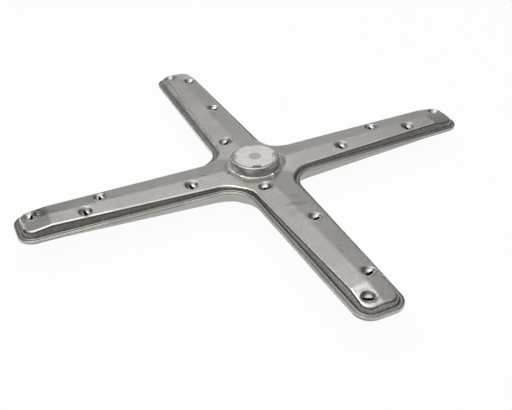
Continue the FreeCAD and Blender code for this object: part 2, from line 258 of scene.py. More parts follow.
def marksGroup(values):
    # Single marks that the sheet has picked up, each in its own place.
    group, entry, leave = newGroup("handlingMarks", [("Vector", "vector", None)],
                                   [("Mask", "value")])
    waver = addNode(group, "ShaderNodeTexNoise", inputs={
        "Vector": entry["Vector"], "Scale": values["waverScale"], "Detail": 2.0})
    centred = addNode(group, "ShaderNodeVectorMath", operation="SUBTRACT", inputs={
        0: waver.outputs["Color"], 1: (0.5, 0.5, 0.5)})
    shift = addNode(group, "ShaderNodeVectorMath", operation="SCALE", inputs={
        0: centred.outputs[0], "Scale": values["waver"]})
    place = addNode(group, "ShaderNodeVectorMath", operation="ADD", inputs={
        0: entry["Vector"], 1: shift.outputs[0]})
    whole = None
    for x, y, length, width, turn, strength in values["places"]:
        spot = addNode(group, "ShaderNodeMapping", vector_type="TEXTURE", inputs={
            "Vector": place.outputs[0], "Location": (x * mm, y * mm, 0.0),
            "Rotation": (0.0, 0.0, math.radians(turn)), "Scale": (length * mm, width * mm, 1.0)})
        away = addNode(group, "ShaderNodeVectorMath", operation="LENGTH", inputs={
            0: spot.outputs[0]})
        mask = remap(group, away.outputs["Value"], *values["fade"], strength, 0.0)
        whole = mask if whole is None else calculate(group, "MAXIMUM", whole, mask)
    link(group, whole, leave["Mask"])
    return group


handlingMarks = marksGroup(marks)
armPlace = armPlaceGroup()
drawnGrain = grainGroup()
rinseClouds = cloudGroup()
scuffs = scuffGroup(scuffLook)
steepness = slopeGroup()


def newMaterial(name):
    material = bpy.data.materials.new(name)
    material.use_nodes = True
    tree = material.node_tree
    return material, tree, tree.nodes["Principled BSDF"]


def giveMaterial(piece, material):
    piece.data.materials.clear()
    piece.data.materials.append(material)


sheetFinish = {
    "colour": (0.735, 0.716, 0.682),
    "dull": (0.590, 0.570, 0.535),
    # painted shade: the colour of the steep walls, and below it the darker one at their foot
    "wall": (0.212, 0.202, 0.188),
    "footShadeColour": (0.097, 0.091, 0.083),
    "speck": (0.46, 0.442, 0.41),
    "rubColour": (0.24, 0.225, 0.20),
    "markColour": (0.17, 0.16, 0.145),
    "cloudShare": 0.60,
    "driftShare": 0.20,
    "fineShare": 0.26,
    "wallShadeShare": 1.0,
    "footShadeShare": 0.85,
    "mottleShare": 0.44,
    "rubShare": 0.6,
    "clouds": {"Scale": 19.0, "Edge": 0.035, "Level": 0.53},
    "drift": {"Scale": 8.0, "Edge": 0.14, "Level": 0.5},
    "fineClouds": {"Scale": 75.0, "Edge": 0.10, "Level": 0.5},
    "mottle": {"Scale": 620.0, "Stretch": 0.75},
    "grain": {"Scale": 1500.0, "Stretch": 0.06},
    "rubs": {"Scale": 26.0, "Amount": 0.12},
    "walls": {"Low": 0.45, "High": 0.93},
    "footShadeBand": (0.0288, 0.0325),    # metres up over which the painted shade at the walls' foot fades
    "speckBand": (0.36, 0.64),
    "roughness": 0.28,
    "cloudRoughness": 0.10,
    "grainRoughness": 0.08,
    "rubRoughness": 0.12,
    "waveScale": 22.0,
    "waveDepth": 0.35,
    "waveHeight": 0.0009,
    "grainDepth": 0.25,
    "grainHeight": 0.00002,
    "softCrease": 0.0045,            # radius of the ridge's and the tip crease's round
    "softSamples": 6,
    "softBand": (0.005, 0.009),      # distances over which the wide round gives way
    "creaseAt": 0.218,               # where the tips' facets start along an arm
    "creaseReach": (0.011, 0.014),   # how far across the arm the crease stays soft
}


def softNormal(tree, place, finish):
    # The ridge and the tip's crease are pressed with a wide round; the crest keeps its tight one.
    along, across = place.outputs["Along"], place.outputs["Across"]
    soft = addNode(tree, "ShaderNodeBevel", samples=finish["softSamples"], inputs={
        "Radius": finish["softCrease"]})
    plain = addNode(tree, "ShaderNodeNewGeometry").outputs["Normal"]
    nearRidge = remap(tree, across, *finish["softBand"], 1.0, 0.0)
    away = calculate(tree, "ABSOLUTE", calculate(tree, "SUBTRACT", along, finish["creaseAt"]))
    nearCrease = calculate(tree, "MULTIPLY", remap(tree, away, *finish["softBand"], 1.0, 0.0),
                           remap(tree, across, *finish["creaseReach"], 1.0, 0.0))
    share = calculate(tree, "MAXIMUM", nearRidge, nearCrease)
    return blend(tree, share, plain, soft.outputs["Normal"], "VECTOR")


def sheetMaterial(name, finish):
    # Pressed stainless sheet: fine drawn grain, soft rinse clouds, a few rubs, and steep walls
    # painted darker as shade, darker still at their foot.
    material, tree, shader = newMaterial(name)
    place = useGroup(tree, armPlace)
    vector = place.outputs["Vector"]
    clouds = groupMask(tree, rinseClouds, Vector=vector, **finish["clouds"])
    drift = groupMask(tree, rinseClouds, Vector=vector, **finish["drift"])
    fineClouds = groupMask(tree, rinseClouds, Vector=vector, **finish["fineClouds"])
    mottle = groupMask(tree, drawnGrain, Vector=vector, **finish["mottle"])
    grain = groupMask(tree, drawnGrain, Vector=vector, **finish["grain"])
    rubs = groupMask(tree, scuffs, Vector=vector, **finish["rubs"])
    walls = groupMask(tree, steepness, **finish["walls"])
    flatPlace = addNode(tree, "ShaderNodeTexCoord").outputs["Object"]
    # painted shade, darker towards the bottom of the walls
    footShadeMask = remap(tree, place.outputs["Height"], *finish["footShadeBand"], finish["footShadeShare"], 0.0)
    layers = (
        (calculate(tree, "MULTIPLY", clouds, finish["cloudShare"]), "dull"),
        (calculate(tree, "MULTIPLY", drift, finish["driftShare"]), "dull"),
        (calculate(tree, "MULTIPLY", fineClouds, finish["fineShare"]), "dull"),
        # painted shade: steep faces take the wall colour, and more of it low down at their foot
        (calculate(tree, "MULTIPLY", walls, finish["wallShadeShare"]), "wall"),
        (calculate(tree, "MULTIPLY", walls, footShadeMask), "footShadeColour"),
        (remap(tree, mottle, *finish["speckBand"], 0.0, finish["mottleShare"]), "speck"),
        (calculate(tree, "MULTIPLY", rubs, finish["rubShare"]), "rubColour"),
        (groupMask(tree, handlingMarks, Vector=flatPlace), "markColour"),
    )
    colour = finish["colour"]
    for share, over in layers:
        colour = blend(tree, share, colour, finish[over])
    link(tree, colour, shader.inputs["Base Color"])
    shader.inputs["Metallic"].default_value = 1.0

    rough = calculate(tree, "MULTIPLY_ADD", clouds, finish["cloudRoughness"], finish["roughness"])
    smoother = calculate(tree, "SUBTRACT", rough, finish["grainRoughness"] / 2)
    rough = calculate(tree, "MULTIPLY_ADD", grain, finish["grainRoughness"], smoother)
    rough = calculate(tree, "MULTIPLY_ADD", rubs, finish["rubRoughness"], rough)
    link(tree, rough, shader.inputs["Roughness"])

    waves = addNode(tree, "ShaderNodeTexNoise", inputs={
        "Vector": vector, "Scale": finish["waveScale"], "Detail": 1.0})
    wave = addNode(tree, "ShaderNodeBump", inputs={
        "Strength": finish["waveDepth"], "Distance": finish["waveHeight"],
        "Height": waves.outputs["Fac"]})
    if finish["softCrease"]:
        link(tree, softNormal(tree, place, finish), wave.inputs["Normal"])
    fine = addNode(tree, "ShaderNodeBump", inputs={
        "Strength": finish["grainDepth"], "Distance": finish["grainHeight"], "Height": grain,
        "Normal": wave.outputs["Normal"]})
    link(tree, fine.outputs["Normal"], shader.inputs["Normal"])
    return material


turnedFinish = {
    "colour": (0.62, 0.60, 0.56),
    "tint": (0.30, 0.27, 0.23),
    "tintShare": 0.35,
    "stain": {"Scale": 95.0, "Edge": 0.15, "Level": 0.5},
    "roughness": 0.30,
    "ringScale": 1500.0,
    "ringRoughness": (0.14, -0.05),      # spread between the rings, and their shift
    "ringDepth": 0.3,
    "ringHeight": 0.00003,
    # painted shade: how much darker an upright wall is painted, and the colour
    "uprightShade": 0.0,
    "uprightShadeColour": (0.13, 0.12, 0.11),
    "upright": {"Low": 0.25, "High": 0.7},
    "patches": {"Scale": 42.0, "Edge": 0.12, "Level": 0.5},
    "patchShare": 0.5,
}


def turnedMaterial(name, finish):
    # Turned steel: fine rings about the axis, a dull tint in patches and, where asked, the upright
    # wall painted darker as shade.
    material, tree, shader = newMaterial(name)
    place = useGroup(tree, armPlace)
    vector = place.outputs["Vector"]
    ringPlace = addNode(tree, "ShaderNodeCombineXYZ", inputs={
        "X": place.outputs["Radius"], "Y": place.outputs["Height"], "Z": 0.0})
    rings = addNode(tree, "ShaderNodeTexNoise", inputs={
        "Vector": ringPlace.outputs[0], "Scale": finish["ringScale"], "Detail": 2.0}).outputs["Fac"]
    stain = groupMask(tree, rinseClouds, Vector=vector, **finish["stain"])
    colour = blend(tree, calculate(tree, "MULTIPLY", stain, finish["tintShare"]),
                   finish["colour"], finish["tint"])
    if finish["uprightShade"]:
        # Painted shade: the upright wall is painted darker, unevenly.
        upright = groupMask(tree, steepness, **finish["upright"])
        patches = groupMask(tree, rinseClouds, Vector=vector, **finish["patches"])
        uneven = calculate(tree, "MULTIPLY_ADD", patches, -finish["patchShare"], 1.0)
        shadedUpright = calculate(tree, "MULTIPLY", upright, uneven)
        colour = blend(tree, calculate(tree, "MULTIPLY", shadedUpright, finish["uprightShade"]), colour,
                       finish["uprightShadeColour"])
    link(tree, colour, shader.inputs["Base Color"])
    shader.inputs["Metallic"].default_value = 1.0
    spread, shift = finish["ringRoughness"]
    rough = calculate(tree, "MULTIPLY_ADD", rings, spread, finish["roughness"] + shift)
    link(tree, rough, shader.inputs["Roughness"])
    bump = addNode(tree, "ShaderNodeBump", inputs={
        "Strength": finish["ringDepth"], "Distance": finish["ringHeight"], "Height": rings})
    link(tree, bump.outputs["Normal"], shader.inputs["Normal"])
    return material


plasticFinish = {
    "grime": (0.30, 0.28, 0.25),
    "stain": {"Scale": 110.0, "Edge": 0.14, "Level": 0.56},
    "stainRoughness": 0.12,
    "fleckScale": 900.0,
    "fleckBand": (0.45, 0.68),
    "fleckShare": 0.22,
    "sparkScale": 2600.0,
    "sparkDepth": 0.25,
    "sparkHeight": 0.00004,
}


def plasticMaterial(name, colour, roughness, grimeShare, **changes):
    # Moulded plastic with a faint spark texture and a little grime; the same makes the near-black
    # painted shade of the seam and the openings.
    finish = {**plasticFinish, **changes}
    material, tree, shader = newMaterial(name)
    place = addNode(tree, "ShaderNodeTexCoord").outputs["Object"]
    stain = groupMask(tree, rinseClouds, Vector=place, **finish["stain"])
    stained = blend(tree, calculate(tree, "MULTIPLY", stain, grimeShare), colour, finish["grime"])
    flecks = addNode(tree, "ShaderNodeTexNoise", inputs={
        "Vector": place, "Scale": finish["fleckScale"], "Detail": 1.0})
    fleck = remap(tree, flecks.outputs["Fac"], *finish["fleckBand"], 0.0, finish["fleckShare"])
    link(tree, blend(tree, fleck, stained, finish["grime"]), shader.inputs["Base Color"])
    rough = calculate(tree, "MULTIPLY_ADD", stain, finish["stainRoughness"], roughness)
    link(tree, rough, shader.inputs["Roughness"])
    sparks = addNode(tree, "ShaderNodeTexNoise", inputs={
        "Vector": place, "Scale": finish["sparkScale"], "Detail": 2.0})
    bump = addNode(tree, "ShaderNodeBump", inputs={
        "Strength": finish["sparkDepth"], "Distance": finish["sparkHeight"],
        "Height": sparks.outputs["Fac"]})
    link(tree, bump.outputs["Normal"], shader.inputs["Normal"])
    return material


# The lower shell, the hem and the ledge are the same sheet, with tight folds and no painted shade
# at the feet; the ledge is painted darker as shade and the hem lighter as highlight.
foldedSheet = {**sheetFinish, "softCrease": 0.0, "footShadeShare": 0.0}

pressedSteel = sheetMaterial("pressedSteel", sheetFinish)
panSteel = sheetMaterial("panSteel", {
    **foldedSheet, "colour": (0.55, 0.535, 0.508), "roughness": 0.40, "waveDepth": 0.2,
    "wallShadeShare": 0.35})
# painted highlight: a lighter copy of the sheet's colour for the hem and its bead
litHemSteel = sheetMaterial("litHemSteel", {
    **foldedSheet, "colour": (0.90, 0.88, 0.85), "roughness": 0.24, "waveDepth": 0.3,
    "grainDepth": 0.4, "wallShadeShare": 0.3})
# painted shade: a darker copy of the sheet's colour for the cove and ledge at the walls' foot
shadedLedgeSteel = sheetMaterial("shadedLedgeSteel", {
    **foldedSheet, "colour": (0.42, 0.405, 0.38), "dull": (0.33, 0.32, 0.30), "roughness": 0.36,
    "waveDepth": 0.2})
turnedSteel = turnedMaterial("turnedSteel", turnedFinish)
bossSteel = turnedMaterial("bossSteel", {**turnedFinish, "roughness": 0.36, "uprightShade": 0.42})
weldSteel = turnedMaterial("weldSteel", {
    **turnedFinish, "colour": (0.93, 0.92, 0.89), "roughness": 0.40})
springSteel = turnedMaterial("springSteel", {
    **turnedFinish, "colour": (0.40, 0.39, 0.38), "roughness": 0.26})
# painted shade: near black round each slot and on the front notch's floor, for the shade of the
# openings
holeShade = plasticMaterial("holeShade", (0.012, 0.011, 0.010), roughness=0.7, grimeShare=0.5,
                           grime=(0.035, 0.032, 0.028))
# painted shade: near black for the hem's seam and the groove under its bead
seamShade = plasticMaterial("seamShade", (0.060, 0.055, 0.048), roughness=0.6, grimeShare=0.6,
                            grime=(0.13, 0.12, 0.10))
capPlastic = plasticMaterial("capPlastic", (0.90, 0.89, 0.865), roughness=0.42, grimeShare=0.18)
recessPlastic = plasticMaterial("recessPlastic", (0.60, 0.57, 0.53), roughness=0.5,
                                grimeShare=0.25)
bushPlastic = plasticMaterial("bushPlastic", (0.74, 0.72, 0.66), roughness=0.5, grimeShare=0.1)
sealRubber = plasticMaterial("sealRubber", (0.018, 0.018, 0.018), roughness=0.6, grimeShare=0.4,
                             grime=(0.06, 0.055, 0.05))

nodeMaterials = {
    "upper_shell": pressedSteel, "lower_shell": panSteel, "boss_ring": turnedSteel,
    "hub_collar": turnedSteel, "hub_cap": capPlastic, "cap_seal": sealRubber,
    "upper_bush": bushPlastic, "lower_bush": bushPlastic, "spindle": turnedSteel,
    "thrust_washer": bushPlastic, "retaining_washer": turnedSteel, "retaining_ring": springSteel,
}
for nodeName, material in nodeMaterials.items():
    giveMaterial(nodes[nodeName], material)
print("materials made")


# Sizes of the pressed shells, in millimetres, as the solids have them.
shells = {
    "halfSpan": 250.0,
    "rootHalfWidth": 25.5,
    "tipHalfWidth": 19.8,
    "tipRadius": 12.0,
    "rootRadius": 30.0,
    "rimOffset": 3.6,
    "ridgeRoot": 34.0,       # height of the arms' ridges at the axis
    "climb": 0.021438,       # rise of the ridges along the arms
    "ridgeSlope": 0.083396,  # fall from a ridge to each side
    "facetStart": 218.0,
    "facetSlope": 0.115,
}


def addPiece(name, points, faces, material, body=armBody):
    # A smooth shaded mesh from points in millimetres, riding on one of the frame's bodies.
    mesh = bpy.data.meshes.new(name)
    mesh.from_pydata([tuple(coordinate * mm for coordinate in point) for point in points],
                     [], faces)
    mesh.validate()
    mesh.shade_smooth()
    piece = bpy.data.objects.new(name, mesh)
    bpy.context.scene.collection.objects.link(piece)
    mesh.materials.append(material)
    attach(piece, body)
    return piece


def ringFaces(ringCount, around, closed=False, start=0):
    # Quads between neighbouring rings of points; closed joins the last ring to the first.
    faces = []
    for ring in range(ringCount if closed else ringCount - 1):
        low, high = start + ring * around, start + (ring + 1) % ringCount * around
        for index in range(around):
            after = (index + 1) % around
            faces.append((low + index, low + after, high + after, high + index))
    return faces


def turnedPoint(x, y, z, angle):
    return (x * math.cos(angle) - y * math.sin(angle), x * math.sin(angle) + y * math.cos(angle), z)


def lathe(profile, around):
    # Rings of points about the axis, from radius and height.
    return [turnedPoint(radius, 0.0, height, 2 * math.pi * index / around)
            for radius, height in profile for index in range(around)]


def shellOutline(values, step, corner=16):
    # Points of the walls' foot line round all four arms, each with its outward direction.
    taper = (values["tipHalfWidth"] - values["rootHalfWidth"]) / values["halfSpan"]
    stretch = math.hypot(1.0, taper)
    normal = Vector((-taper, 1.0)) / stretch
    rootMiddle = (values["rootHalfWidth"] + values["rootRadius"] * stretch) / (1.0 - taper)
    rootCentre = Vector((rootMiddle, rootMiddle))
    rootPoint = rootCentre - normal * values["rootRadius"]
    footEnd = values["halfSpan"] - values["rimOffset"]
    tipX = footEnd - values["tipRadius"]
    tipY = values["rootHalfWidth"] + taper * tipX - values["tipRadius"] * stretch
    tipCentre = Vector((tipX, tipY))
    sidePoint = tipCentre + normal * values["tipRadius"]
    theta = math.atan2(normal.y, normal.x)
    below = Vector((1.0, -1.0))
    line = []

    def straight(start, end, outward):
        count = max(2, round((end - start).length / step))
        for index in range(count):
            line.append((start.lerp(end, index / count), outward))

    def bend(centre, radius, first, last, side):
        for index in range(corner):
            angle = first + (last - first) * index / corner
            direction = Vector((math.cos(angle), math.sin(angle)))
            line.append((centre + direction * radius, direction * side))

    straight(rootPoint * below, sidePoint * below, normal * below)
    bend(tipCentre * below, values["tipRadius"], -theta, 0.0, 1.0)
    straight(Vector((footEnd, -tipCentre.y)), Vector((footEnd, tipCentre.y)), Vector((1.0, 0.0)))
    bend(tipCentre, values["tipRadius"], 0.0, theta, 1.0)
    straight(sidePoint, rootPoint, normal)
    bend(rootCentre, values["rootRadius"], theta - math.pi, -theta - math.pi / 2, -1.0)
    whole = []
    for arm in range(4):
        angle = arm * math.pi / 2
        for point, outward in line:
            whole.append((turnedPoint(point.x, point.y, 0.0, angle),
                          turnedPoint(outward.x, outward.y, 0.0, angle)))
    return whole


def crownHeight(values, distance, offset):
    height = values["ridgeRoot"] + values["climb"] * distance - values["ridgeSlope"] * abs(offset)
    if distance > values["facetStart"]:
        height -= (values["facetSlope"] + values["climb"]) * (distance - values["facetStart"])
    return height


bowls = {
    "offset": 9.5,
    "tipOffset": 8.0,
    "slotLength": 9.0,
    "slotWidth": 2.2,
    "around": 56,
    "profile": ((7.95, 0.035), (7.55, 0.045), (7.15, -0.03), (6.8, -0.22), (6.4, -0.58),
                (5.9, -1.12), (5.3, -1.75), (4.6, -2.35), (3.7, -2.92), (2.7, -3.28), (1.6, -3.40),
                (0.0, -3.42)),
    "edge": ((0.10, 1.25), (0.02, 0.30)),    # the slot's edge, turned down: distance out, drop
    "lip": 0.18,
    "shares": (0.0, 0.045, 0.09, 0.20, 0.35, 0.50, 0.62, 0.73, 0.81, 0.88, 0.93, 0.97, 1.0),
    "slotShadeRings": 4,              # rings next to the slot painted black as the shade of its opening
    "dent": 0.07,            # how unevenly the sheet was drawn
    "lift": 0.02,            # keeps the bowl clear of the solid under it
    # On each arm: share of the way to the facet, side of the ridge, turn of the slot in degrees.
    "rows": (
        ((0.854, -1, 5.0), (0.684, 1, -12.0), (0.456, -1, 8.0)),
        ((0.970, -1, 20.0), (0.615, -1, 10.0), (0.260, 1, 25.0)),
        ((0.846, 1, 5.0), (0.757, -1, -10.0), (0.346, 1, 6.0)),
        ((0.945, 1, 12.0), (0.520, 1, 14.0), (0.198, -1, -10.0)),
    ),
    # On each tip: distance from the end, side of the ridge, turn of the slot.
    "tips": ((15.0, 1, 20.0), (15.0, 1, 24.0), (16.5, -1, -20.0), (17.5, -1, -28.0)),
}


def bowlDepth(values, radius):
    # Height of the bowl's profile at a distance from its middle.
    profile = values["profile"]
    for (outer, high), (inner, low) in zip(profile, profile[1:]):
        if radius >= inner:
            share = (min(radius, outer) - inner) / (outer - inner)
            return low + (high - low) * share
    return profile[-1][1]


def slotEdge(values, angle):
    # Distance from the middle to the edge of a round-ended slot, in a direction.
    half = values["slotWidth"] / 2
    reach = (values["slotLength"] - values["slotWidth"]) / 2
    across, along = abs(math.sin(angle)), abs(math.cos(angle))
    if across > 1e-9 and half / across * along <= reach:
        return half / across
    return reach * along + math.sqrt(half * half - (reach * across) ** 2)


def bowlPoint(values, ring, angle, dents):
    # Distance from the middle and height of one point, from the slot's edge out to the rim.
    edge, turnedRings = slotEdge(values, angle), len(values["edge"])
    if ring < turnedRings:
        out, drop = values["edge"][ring]
        return edge + out, bowlDepth(values, edge) - drop
    share = values["shares"][ring - turnedRings]
    rim = values["profile"][0][0]
    radius = edge + values["lip"] + (rim - edge - values["lip"]) * share
    wobble = sum(math.sin((2 + k) * angle + dent) for k, dent in enumerate(dents)) / len(dents)
    uneven = values["dent"] * wobble * math.sin(math.pi * share)
    return radius, bowlDepth(values, radius) + (uneven + values["lift"])


def makeBowls(values, arms, material, slotShadeMaterial):
    # Drawn bowls over the nozzle dishes, one mesh for each arm, with a lip round every slot.
    around = values["around"]
    rings = len(values["edge"]) + len(values["shares"])
    for arm, row in enumerate(values["rows"]):
        places = [(share * arms["facetStart"], side * values["offset"], turn, -arms["climb"])
                  for share, side, turn in row]
        inset, side, turn = values["tips"][arm]
        places.append((arms["halfSpan"] - inset, side * values["tipOffset"], turn,
                       arms["facetSlope"]))
        points, faces = [], []
        for place, (distance, offset, turn, fall) in enumerate(places):
            chance = random.Random(40 * arm + place)
            dents = [chance.uniform(0.0, 2 * math.pi) for _ in range(3)]
            up = Vector((fall, math.copysign(arms["ridgeSlope"], offset), 1.0)).normalized()
            along = Vector((1.0, 0.0, -fall)).normalized()
            across = up.cross(along)
            middle = Vector((distance, offset, crownHeight(arms, distance, offset)))
            heading = math.radians(90.0 + turn)
            faces += [face[::-1] for face in ringFaces(rings, around, start=len(points))]
            for ring in range(rings):
                for index in range(around):
                    angle = 2 * math.pi * index / around
                    radius, height = bowlPoint(values, ring, angle, dents)
                    ahead = radius * math.cos(angle + heading)
                    sideways = radius * math.sin(angle + heading)
                    point = middle + along * ahead + across * sideways + up * height
                    points.append(turnedPoint(*point, arm * math.pi / 2))
        piece = addPiece("nozzle_bowls_%d" % (arm + 1), points, faces, material)
        piece.data.materials.append(slotShadeMaterial)
        # painted shade: the rings next to each slot take the black
        each, slotShadeRings = len(faces) // len(places), values["slotShadeRings"] * around
        for polygon in piece.data.polygons:
            polygon.material_index = 1 if polygon.index % each < slotShadeRings else 0
    print("nozzle bowls made")


hem = {
    # Offset from the foot of the wall, and height: cove, ledge, seam, bead, groove, lower lip.
    "profile": ((-0.60, 29.22), (-0.44, 28.92), (-0.22, 28.70), (0.02, 28.56), (0.26, 28.50),
                (0.90, 28.47), (1.60, 28.46), (2.00, 28.48), (2.14, 28.44), (2.80, 28.43),
                (2.88, 28.64), (3.05, 28.82), (3.30, 28.90), (3.55, 28.84), (3.76, 28.66),
                (3.92, 28.38), (3.99, 28.05), (3.98, 27.62), (3.90, 27.32), (3.70, 27.12),
                (3.66, 26.75), (3.68, 26.44), (3.84, 26.28), (3.96, 25.98), (3.94, 25.60),
                (3.78, 25.34), (3.36, 25.20), (2.40, 25.45)),
    "step": 1.2,             # between points round the outline
    "ledge": 7,              # runs of the profile that take the ledge's darker colour, as painted shade
    "grime": (8, 9, 19),     # runs painted near black as shade in the seam and the groove
    "looseFrom": 2.8,        # offset beyond which the sheet was folded by feel
    "beadAbove": 28.0,       # height of the bead's top half
    "waver": 0.10,           # how far the hand-fed edge wanders
    "waverScale": 0.045,
    "pinch": 0.07,           # small dents along the bead
    "pinchScale": 0.23,
    "pinchDrift": 0.35,
    "slant": 0.7,            # turn of the noise, off its own grid
    "slantAxis": (0.3, 0.5, 1.0),
}


def makeHem(values, arms, material, ledgeShadeMaterial, grimeMaterial):
    # Cove at the wall's foot and the hem that folds the lower shell's edge over the flange.
    outline = shellOutline(arms, values["step"])
    profile = values["profile"]
    around = len(outline)
    slant = Matrix.Rotation(values["slant"], 3, Vector(values["slantAxis"]))
    points = []
    for offset, height in profile:
        drift = Vector((0.0, 0.0, offset * values["pinchDrift"]))
        loose = offset > values["looseFrom"]
        bead = loose and height > values["beadAbove"]
        for point, outward in outline:
            place = slant @ Vector(point)
            waver = noise.noise(place * values["waverScale"]) * values["waver"]
            pinch = noise.noise(place * values["pinchScale"] + drift) * values["pinch"]
            shift = offset + (waver + 0.5 * pinch if loose else 0.0)
            points.append((point[0] + outward[0] * shift, point[1] + outward[1] * shift,
                           height + (pinch if bead else 0.0)))
    piece = addPiece("rolled_hem", points, ringFaces(len(profile), around), material)
    piece.data.materials.append(ledgeShadeMaterial)
    piece.data.materials.append(grimeMaterial)
    for polygon in piece.data.polygons:
        run = polygon.index // around
        polygon.material_index = 2 if run in values["grime"] else 1 if run < values["ledge"] else 0
    print("hem made,", around, "points round")


weld = {
    "around": 420,
    "steps": 10,
    "radius": 26.45,
    "level": 32.45,
    "size": 1.85,
    "flatness": 0.8,         # height of the bead for its width
    "from": -14.0,           # the bead's arc in degrees, from its outer foot over the top
    "sweep": 128.0,
    "swell": 0.55,           # how unevenly the bead was laid
    "swellScale": 4.3,
    "swellLevel": 0.15,
    "lump": 0.20,
    "lumpScale": 26.0,
    "ripple": 0.16,
    "rippleLean": 1.4,
    "pitch": 1.9,            # degrees from one ripple to the next
    # Blobs where the bead was stopped and started: angle and width in degrees, height in mm.
    "blobs": ((-146.0, 5.0, 0.9), (-116.0, 3.0, 0.7), (-107.0, 2.5, 0.8), (-72.0, 4.0, 0.9),
              (38.0, 6.0, 0.6)),
}


def makeWeld(values, material):
    # Bead of weld metal round the boss's foot.
    around, steps = values["around"], values["steps"]
    points = []
    for step in range(steps):
        slant = math.radians(values["from"] + values["sweep"] * step / (steps - 1))
        drift = Vector((0.0, 0.0, slant))
        for index in range(around):
            angle = 2 * math.pi * index / around
            place = Vector((math.cos(angle), math.sin(angle), 0.0))
            swell = noise.noise(place * values["swellScale"]) + values["swellLevel"]
            ripple = math.sin(angle * 360.0 / values["pitch"] + values["rippleLean"] * slant)
            size = values["size"] + values["swell"] * max(0.0, swell)
            size += values["lump"] * noise.noise(place * values["lumpScale"] + drift)
            size += values["ripple"] * ripple
            for middle, width, height in values["blobs"]:
                away = (math.degrees(angle) - middle + 180.0) % 360.0 - 180.0
                size += height * math.exp(-(away / width) ** 2)
            radius = values["radius"] + size * math.cos(slant)
            lift = values["flatness"] * size * math.sin(slant)
            points.append((radius * place.x, radius * place.y, values["level"] + lift))
    addPiece("boss_weld", points, ringFaces(steps, around), material)
    print("weld bead made")


boss = {
    "around": 160,
    # Radius and height: the bore, the cap's seat, the rounded shoulder, the wall and the foot.
    "profile": ((20.05, 28.65), (20.05, 40.45), (20.15, 40.55), (22.05, 40.58), (22.08, 42.90),
                (22.18, 43.10), (22.38, 43.20), (23.50, 43.20), (24.15, 43.12), (24.75, 42.85),
                (25.20, 42.40), (25.50, 41.80), (25.66, 41.10), (25.80, 39.80), (26.05, 37.60),
                (26.45, 34.20), (26.60, 33.0), (26.60, 32.65), (25.00, 32.60), (25.00, 28.65)),
}


def makeBoss(values, material):
    # Turned ring that holds the cap, its shoulder rounded over.
    points = lathe(values["profile"], values["around"])
    faces = ringFaces(len(values["profile"]), values["around"], closed=True)
    piece = addPiece("boss_ring_turned", points, faces, material)
    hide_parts("boss_ring")
    print("boss ring made")


cap = {
    "around": 288,
    "radius": 22.0,
    "face": 43.6,
    "bevel": 0.45,
    "notchWidth": 10.4,
    "notchDepth": 3.6,
    "notchRound": 1.5,
    "notchTurn": -20.0,      # degrees; the others follow at quarter turns
    "recessRadius": 6.2,
    "recessDepth": 0.65,
    "recessRuns": 6,         # runs of faces that have the recess's look
    "gate": 0.9,             # radius of the moulding gate's mark in the middle
    # Radius and drop from the face: down the skirt, back up inside it and to the middle.
    "skirt": ((19.95, 3.0), (19.95, 6.15), (18.65, 6.2), (18.6, 2.1), (0.15, 2.0)),
    # Floors of the notches, drop and look of each; the first and third are painted darker and the
    # last black, as painted shade in the notches.
    "pockets": ((1.0, 1), (0.7, 0), (1.0, 1), (2.2, 2)),
    "pocketRings": ((17.9, 0.12), (18.9, 0.0), (20.6, 0.04), (21.96, 0.15)),     # radius, sag
    "pocketSteps": 14,
    "pocketReach": 16.0,     # degrees to each side
}


def capEdge(values, angle):
    # Distance from the axis to the cap's edge in a direction, with the rounded spanner notches.
    turn = (math.degrees(angle) - values["notchTurn"] + 45.0) % 90.0 - 45.0
    sideways = values["radius"] * math.sin(math.radians(turn))
    half = values["notchWidth"] / 2
    share = min(1.0, max(0.0, (half - abs(sideways)) / values["notchRound"]))
    share = share * share * (3.0 - 2.0 * share)
    return values["radius"] - values["notchDepth"] * share


def addPocket(values, pocket, points, faces):
    # Floor of one spanner notch.
    steps, start = values["pocketSteps"], len(points)
    middle = math.radians(values["notchTurn"] + 90.0 * pocket)
    reach = math.radians(values["pocketReach"])
    for radius, sag in values["pocketRings"]:
        height = values["face"] - (values["pockets"][pocket][0] + sag)
        for step in range(steps):
            angle = middle + reach * (2.0 * step / (steps - 1) - 1.0)
            points.append(turnedPoint(radius, 0.0, height, angle))
    for ring in range(len(values["pocketRings"]) - 1):
        for step in range(steps - 1):
            corner = start + ring * steps + step
            faces.append((corner, corner + steps, corner + steps + 1, corner + 1))


